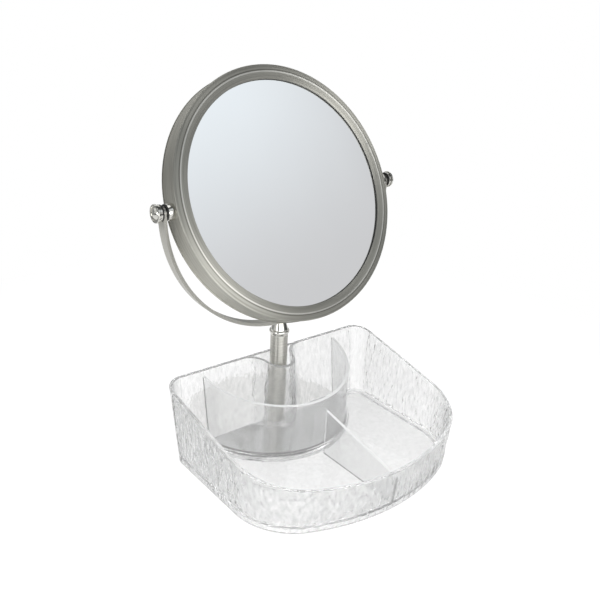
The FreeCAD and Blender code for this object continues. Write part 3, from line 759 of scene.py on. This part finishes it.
walls = [face for face in tray_form.faces if outside_wall(face)]
cut = dict.fromkeys(walls)
for face in walls:
    cut.update(dict.fromkeys(face.edges))
    cut.update(dict.fromkeys(face.verts))
cut = list(cut)
low = [min(v.co[axis] for face in walls for v in face.verts) for axis in range(3)]
high = [max(v.co[axis] for face in walls for v in face.verts) for axis in range(3)]
for axis in range(3):
    across = Vector([1.0 if k == axis else 0.0 for k in range(3)])
    steps = int((high[axis] - low[axis]) / (SLICE_UP if axis == 2 else SLICE_ACROSS))
    for step in range(1, steps):
        at = across * (low[axis] + (high[axis] - low[axis]) * step / steps)
        cut = bmesh.ops.bisect_plane(
            tray_form, geom=cut, dist=SLICE_SNAP, plane_co=at, plane_no=across)["geom"]
walls = [item for item in cut if isinstance(item, bmesh.types.BMFace)]
print("outer walls found:", len(walls), "facets after slicing:", len(tray_form.faces))

# %% [markdown]
# The dents come from two layers of smooth noise, a fine one for the dents and a broad one that
# varies their depth. Each point moves inward along its own normal, so the outside size never
# grows, and the pattern fades out towards the foot and the rim, as it does in a mould.

# %% The tray: press the rain into the walls
from mathutils import noise

DENT_WIDTH = 1.7 * MM
DENT_HEIGHT = 5.0 * MM
DENT_DEPTH = 0.80 * MM
DENT_SLANT = 0.18
BROAD_SCALE = 0.45
BROAD_SHIFT = Vector((7.3, 1.9, 4.1))
FINE_SHARE, BROAD_SHARE = 0.55, 0.35
FOOT_CHAMFER = 0.6 * MM
FADE = 1.2 * MM


def rain(point):
    """0 to 1: how deep the pattern is at a point of the wall."""
    lean = DENT_SLANT * point.z
    slanted = Vector((
        (point.x + lean) / DENT_WIDTH, (point.y + lean) / DENT_WIDTH, point.z / DENT_HEIGHT))
    fine = noise.noise(slanted)
    broad = noise.noise(slanted * BROAD_SCALE + BROAD_SHIFT)
    return max(0.0, min(1.0, 0.5 + FINE_SHARE * fine + BROAD_SHARE * broad))


tray_form.normal_update()
wall_set = set(walls)
shifts = []
for vertex in dict.fromkeys(v for face in walls for v in face.verts):
    if any(face not in wall_set for face in vertex.link_faces):
        continue
    room = min(vertex.co.z - FOOT_CHAMFER, rim_height(vertex.co.y) - RIM_ROUND - vertex.co.z)
    fade = max(0.0, min(1.0, room / FADE))
    shifts.append((vertex, -vertex.normal * DENT_DEPTH * fade * rain(vertex.co)))
for vertex, shift in shifts:
    vertex.co += shift
print("points pressed in:", len(shifts))

# %% [markdown]
# Sliced facets next to large flat ones share points, and plain smooth shading would average their
# normals, so that flat walls reflect as if they were bent. Weighing each normal by the area of its
# faces keeps the flats flat.

# %% A modifier that evens the shading
def even_normals(piece):
    """Shade each face by its large neighbours, so that slivers don't bend a flat reflection."""
    even = piece.modifiers.new("even_normals", "WEIGHTED_NORMAL")
    even.mode = "FACE_AREA"
    even.weight = 100
    even.keep_sharp = True


# %% The tray: put it in place
WALL_CRISP = math.radians(40.0)

rain_mesh = bpy.data.meshes.new("rain_tray")
tray_form.to_mesh(rain_mesh)
tray_form.free()
for face in rain_mesh.polygons:
    face.use_smooth = True
rain_mesh.set_sharp_from_angle(angle=WALL_CRISP)
rain_mesh.materials.append(tray_styrene)
rain_tray = bpy.data.objects.new("rain_tray", rain_mesh)
bpy.context.scene.collection.objects.link(rain_tray)
even_normals(rain_tray)
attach(rain_tray, "stand")
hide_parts("tray_shell")
print("tray facets:", len(rain_mesh.polygons))

# %% [markdown]
# The magnifying glass is a shallow bowl, and its facets run together at the middle, where two have
# no area and bend the shading into a dark speck. A weld modifier joins their points, and the same
# weighing by area does the rest.

# %% Even out the magnifying glass
SLIVER = 0.002 * MM

weld = nodes["rear_glass"].modifiers.new("join_slivers", "WELD")
weld.mode = "CONNECTED"
weld.merge_threshold = SLIVER
even_normals(nodes["rear_glass"])
print("rear glass facets:", len(nodes["rear_glass"].data.polygons))

# %% [markdown]
# The dividers are thinner walls with rounded tops. Their shape is right, so they only need their
# edges eased by a bevel modifier, which catches the bright line along each top.

# %% Ease the dividers' edges
EASE = 0.45 * MM
EASE_ABOVE = math.radians(50.0)

for name in ("arc_divider", "centre_divider"):
    ease = nodes[name].modifiers.new("eased_edges", "BEVEL")
    ease.width = EASE
    ease.segments = 3
    ease.limit_method = "ANGLE"
    ease.angle_limit = EASE_ABOVE
    print("eased:", name)
